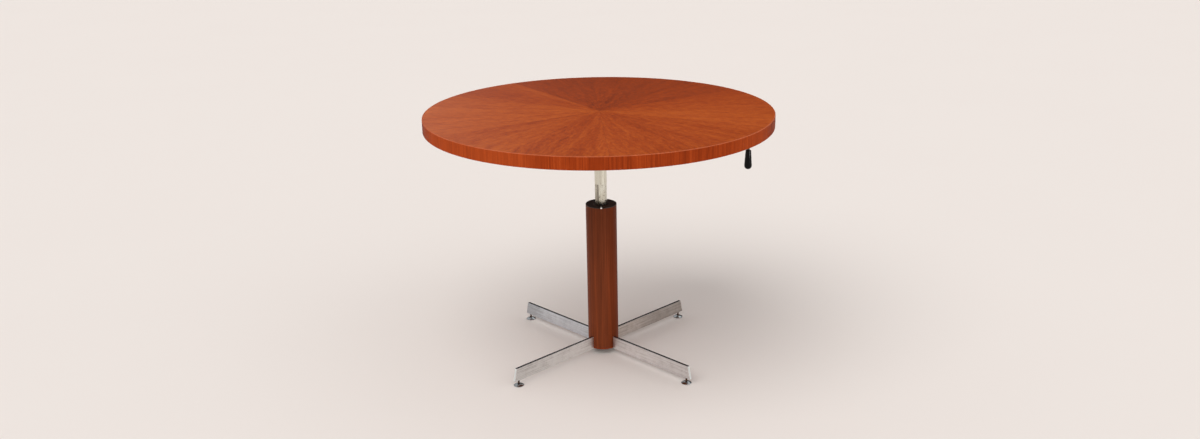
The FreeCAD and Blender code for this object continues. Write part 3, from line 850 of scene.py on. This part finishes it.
moulded = {
    "layers": {"grain": (1400.0, 2.0, 0.5), "scuffs": (65.0, 5.0, 0.68)},
    "dustEdges": (0.45, 0.75),
    "roughBy": {"scuffs": 0.2, "grain": 0.06},
    "relief": (0.00003, 0.4),
    # tone, dusty tone, roughness and shine
    "cap": ((56, 45, 40), (74, 64, 58), 0.46, 0.3),
    "bearing": ((214, 208, 192), (178, 168, 148), 0.45, 0.4),
    "buffer": ((30, 29, 28), (58, 55, 52), 0.75, 0.3),
    "grip": ((4, 4, 5), (9, 9, 10), 0.13, 0.13),
}


def mouldedPlastic(name, tone, dusty, rough, shine):
    plastic = Finish(name, shine)
    layers = plastic.layers(plastic.place(), moulded["layers"])
    tint = plastic.mixed(plastic.rise(layers["scuffs"], *moulded["dustEdges"]), tone, dusty)
    relief = plastic.bump(layers["grain"], *moulded["relief"])
    return plastic.wear(baseColor=tint, roughness=rough + swings(layers, moulded["roughBy"]), normal=relief)


dress(mouldedPlastic("capPlastic", *moulded["cap"]), "column_cap", "gas_seal", "gas_piston",
      *[f"glide_pad_{number}" for number in range(1, 5)])
dress(mouldedPlastic("bearingPlastic", *moulded["bearing"]), "inner_bearing", "outer_bearing", "lower_guide")
dress(mouldedPlastic("bufferRubber", *moulded["buffer"]), "down_buffer")
print("plastics finished")

# Release grip, turned with a blind bore for the rod

grip = {
    "neck": 0.0074,  # radius
    "lip": 0.0011,  # round of the upper edge
    "bore": 0.00405,
    "cover": 0.012,  # thickness left below the bore
    "around": 48,
    "curve": 12,  # levels of the ball
}


def gripProfile(ball, height):  # radius and height of each ring, from the lower end up and down the bore
    neck = grip["neck"]
    lip = grip["lip"]
    curve = grip["curve"]
    taper = math.atan((ball - neck) / (height - ball))
    rings = []
    for step in range(1, curve + 1):
        angle = (math.pi / 2 + taper) * step / curve
        rings.append((ball * math.sin(angle), ball * (1 - math.cos(angle))))
    for step in range(curve // 2 + 1):
        angle = math.pi / 2 * step / (curve // 2)
        rings.append((neck - lip + lip * math.cos(angle), height - lip + lip * math.sin(angle)))
    return rings + [(grip["bore"], height), (grip["bore"], grip["cover"])]


def turnedGrip(finish):
    low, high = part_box("release_grip")
    middle = (low + high) / 2
    around = grip["around"]
    turns = [2 * math.pi * step / around for step in range(around)]
    mesh = bmesh.new()

    def spot(radius, turn, height):
        place = (middle.x + radius * math.cos(turn), middle.y + radius * math.sin(turn), low.z + height)
        return mesh.verts.new(place)

    profile = gripProfile((high.y - low.y) / 2, high.z - low.z)
    rings = [[spot(radius, turn, height) for turn in turns] for radius, height in profile]
    for first, second in zip(rings, rings[1:]):
        for step in range(around):
            after = (step + 1) % around
            mesh.faces.new((first[step], first[after], second[after], second[step])).smooth = True
    for ring, height in ((rings[0][::-1], 0.0), (rings[-1], grip["cover"])):
        point = spot(0.0, 0.0, height)
        for step in range(around):
            mesh.faces.new((ring[step], ring[(step + 1) % around], point)).smooth = True
    made = bpy.data.meshes.new("turnedGrip")
    mesh.to_mesh(made)
    mesh.free()
    piece = hang("turnedGrip", made, finish, "release")
    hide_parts("release_grip")


turnedGrip(mouldedPlastic("gripPlastic", *moulded["grip"]))
print("grip turned")

# Floor, light and camera

studio = {
    "floor": (238, 231, 227),
    "floorShade": (230, 221, 217),
    "shadeMost": 0.15,
    "shading": (1.3, 2.0, 0.5),
    "floorSize": 80.0,
    "air": 0.55,
    "airTint": (1.0, 0.985, 0.97, 1.0),
    "backdrop": (238, 231, 227),
    "room": 46,  # the dim room that the surfaces mirror
    "roomEnd": 0.42,  # heights and sides are sines, from the horizon and from straight ahead
    "ceiling": 240,
    "ceilingStart": 0.75,
    "window": 188,  # a lit wall on the left
    "windowEdges": (0.03, 0.25),
    "windowDepths": (0.0, 0.4),
    "windowSill": (0.1, 0.2),
    "lampHeights": (0.3, 0.75),  # the ceiling is brightest in front
    "lampWidths": (0.25, 0.8),
    "lampDepths": (-0.2, 0.6),
    "lampStrength": 0.8,
    "sidePlace": (2.59, -2.3, 0.4),  # a lamp below the top's level, which only mirrors show
    "sideSize": (0.6, 0.2),
    "sidePower": 10.0,
    "suns": (
        # name, where it comes from, strength, spread in degrees, tint
        ("keySun", (-0.55, -0.75, 1.35), 1.45, 55.0, (1.0, 0.985, 0.96)),
        ("fillSun", (0.9, -0.8, 0.8), 0.45, 70.0, (1.0, 0.99, 0.98)),
    ),
}


def layFloor():
    half = studio["floorSize"] / 2
    corners = [(-half, -half, 0), (half, -half, 0), (half, half, 0), (-half, half, 0)]
    mesh = bpy.data.meshes.new("studioFloor")
    mesh.from_pydata(corners, [], [(0, 1, 2, 3)])
    floor = bpy.data.objects.new("studioFloor", mesh)
    bpy.context.scene.collection.objects.link(floor)
    paper = Finish("floorPaper", 0.0)
    shade = paper.layer(paper.place(), studio["shading"]) * studio["shadeMost"]
    paper.wear(baseColor=paper.mixed(shade, studio["floor"], studio["floorShade"]), roughness=1.0)
    mesh.materials.append(paper.material)


def hangSun(name, origin, strength, spread, tint):
    lamp = bpy.data.lights.new(name, "SUN")
    lamp.energy = strength
    lamp.angle = math.radians(spread)
    lamp.color = tint
    holder = bpy.data.objects.new(name, lamp)
    holder.rotation_euler = (-Vector(origin)).to_track_quat("-Z", "Y").to_euler()
    holder.visible_glossy = False
    bpy.context.scene.collection.objects.link(holder)


def standSideLamp():
    lamp = bpy.data.lights.new("sideLamp", "AREA")
    lamp.shape = "RECTANGLE"
    lamp.size, lamp.size_y = studio["sideSize"]
    lamp.energy = studio["sidePower"]
    holder = bpy.data.objects.new("sideLamp", lamp)
    holder.location = studio["sidePlace"]
    holder.rotation_euler = (-Vector((*studio["sidePlace"][:2], 0))).to_track_quat("-Z", "Y").to_euler()
    holder.visible_camera = False
    holder.visible_diffuse = False
    bpy.context.scene.collection.objects.link(holder)


def fillAir():
    world = bpy.data.worlds.new("studioAir")
    world.use_nodes = True
    bpy.context.scene.world = world
    air = Graph(world.node_tree)
    light = air.tree.nodes["Background"]
    light.inputs["Color"].default_value = studio["airTint"]
    light.inputs["Strength"].default_value = studio["air"]
    side, depth, rise = air.parts(air.node("ShaderNodeTexCoord", {}, {}, "Generated"))
    room = air.ramp(rise, (studio["roomEnd"], studio["room"]), (studio["ceilingStart"], studio["ceiling"]))
    window = air.rise(side * -1.0, *studio["windowEdges"]) * air.rise(depth, *studio["windowDepths"])
    room = air.mixed(window * air.rise(rise, *studio["windowSill"]), room, studio["window"])
    lamp = air.rise(rise, *studio["lampHeights"]) * (1 - air.rise(side.size(), *studio["lampWidths"]))
    lamp = lamp * air.rise(depth * -1.0, *studio["lampDepths"])
    camera, glossy, through = [air.node("ShaderNodeLightPath", {}, {}, f"Is {ray} Ray") for ray in
                               ("Camera", "Glossy", "Transmission")]
    shown = {"Color": air.mixed(camera, room, studio["backdrop"]),
             "Strength": 1 + lamp * studio["lampStrength"] * (1 - camera)}
    seen = air.node("ShaderNodeBackground", {}, shown)
    direct = camera.maths("MAXIMUM", camera, glossy.maths("MAXIMUM", glossy, through))
    both = air.node("ShaderNodeMixShader", {}, {0: direct, 1: Flow(air, light.outputs[0]), 2: seen})
    air.feed(air.tree.nodes["World Output"].inputs["Surface"], both)


view = {
    "place": (0.0622, -3.1231, 1.4468),
    "yaw": math.radians(0.817),
    "pitch": math.radians(-18.336),
    "roll": math.radians(-0.436),
    "sensor": 36.0,  # in millimetres, as the lens is
    "lens": 33.79,
    "shift": -0.0316,
}


def setCamera():
    data = bpy.data.cameras.new("viewCamera")
    data.sensor_width = view["sensor"]
    data.lens = view["lens"]
    data.shift_x = view["shift"]
    camera = bpy.data.objects.new("viewCamera", data)
    bpy.context.scene.collection.objects.link(camera)
    turn = Matrix.Rotation(-view["yaw"], 3, "Z") @ Matrix.Rotation(math.pi / 2 + view["pitch"], 3, "X")
    turn = turn @ Matrix.Rotation(view["roll"], 3, "Z")
    camera.matrix_world = Matrix.Translation(view["place"]) @ turn.to_4x4()
    bpy.context.scene.camera = camera


layFloor()
fillAir()
standSideLamp()
for sun in studio["suns"]:
    hangSun(*sun)
setCamera()
bpy.context.scene.view_settings.view_transform = "Standard"
print("studio set")
